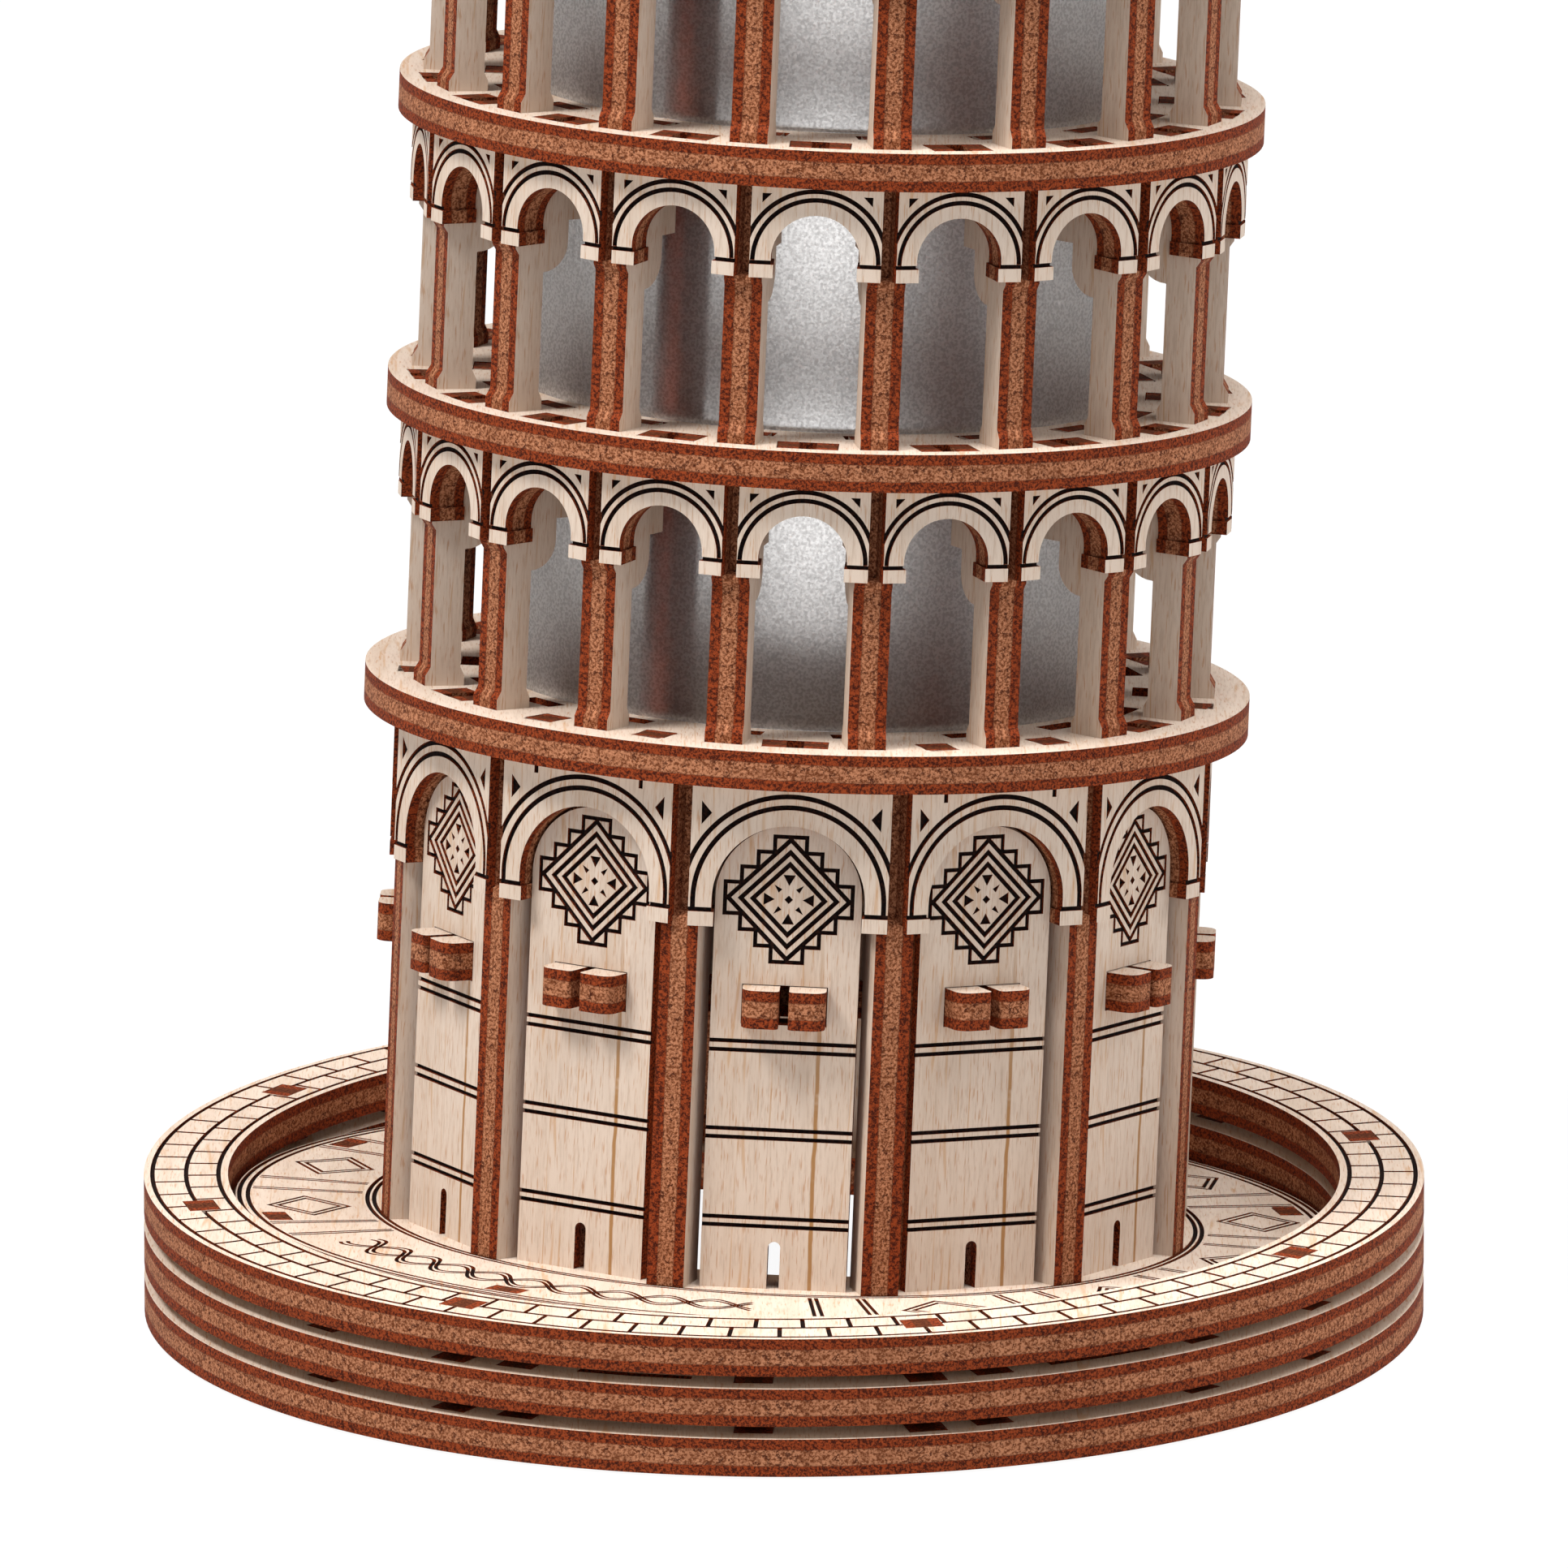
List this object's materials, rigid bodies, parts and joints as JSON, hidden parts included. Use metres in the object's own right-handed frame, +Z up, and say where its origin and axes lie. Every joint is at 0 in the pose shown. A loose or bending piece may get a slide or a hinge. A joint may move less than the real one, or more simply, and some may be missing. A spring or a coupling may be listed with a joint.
{
  "type": "miniature leaning tower",
  "caption": "Miniature leaning bell tower of laser-cut plywood: ringed base, blind arcade storey, open column galleries around frosted light tubes, and a narrower bell chamber.",
  "frame": {"origin": "centre of the base's underside, on the table", "axes": "+Z up, -Y the front, +X to the right seen from the front; the tower leans towards +X and +Y"},
  "size_m": [0.1348, 0.1348, 0.2903],
  "materials": {
    "plywood": "bare laser-cut plywood",
    "frosted_film": "translucent frosted film"
  },
  "bodies": {
    "root": {"base_ring_bottom": "plywood", "base_ring_middle": "plywood", "base_ring_top": "plywood", "ring_peg_1": "plywood", "ring_peg_2": "plywood", "ring_peg_3": "plywood", "ring_peg_4": "plywood", "ring_peg_5": "plywood", "ring_peg_6": "plywood", "ring_peg_7": "plywood", "ring_peg_8": "plywood", "floor_plate": "plywood", "floor_leg_1": "plywood", "floor_leg_2": "plywood", "floor_leg_3": "plywood", "floor_leg_4": "plywood", "floor_leg_5": "plywood", "floor_leg_6": "plywood", "floor_leg_7": "plywood", "floor_leg_8": "plywood", "wall_panel_1": "plywood", "wall_panel_2": "plywood", "wall_panel_3": "plywood", "wall_panel_4": "plywood", "wall_panel_5": "plywood", "wall_panel_6": "plywood", "wall_panel_7": "plywood", "wall_panel_8": "plywood", "wall_panel_9": "plywood", "wall_panel_10": "plywood", "wall_panel_11": "plywood", "wall_panel_12": "plywood", "ground_arcade": "plywood", "snap_ring": "plywood", "gallery_1_floor": "plywood", "gallery_1_arcade": "plywood", "gallery_1_diffuser": "frosted_film", "gallery_2_floor": "plywood", "gallery_2_arcade": "plywood", "gallery_2_diffuser": "frosted_film", "gallery_3_floor": "plywood", "gallery_3_arcade": "plywood", "gallery_3_diffuser": "frosted_film", "gallery_4_floor": "plywood", "gallery_4_arcade": "plywood", "gallery_4_diffuser": "frosted_film", "gallery_5_floor": "plywood", "gallery_5_arcade": "plywood", "gallery_5_diffuser": "frosted_film", "gallery_6_floor": "plywood", "gallery_6_arcade": "plywood", "gallery_6_diffuser": "frosted_film", "shaft_post_1": "plywood", "shaft_post_2": "plywood", "belfry_floor": "plywood", "belfry_walls": "plywood", "belfry_cornice": "plywood", "belfry_crown": "plywood"}
  },
  "joints": []
}
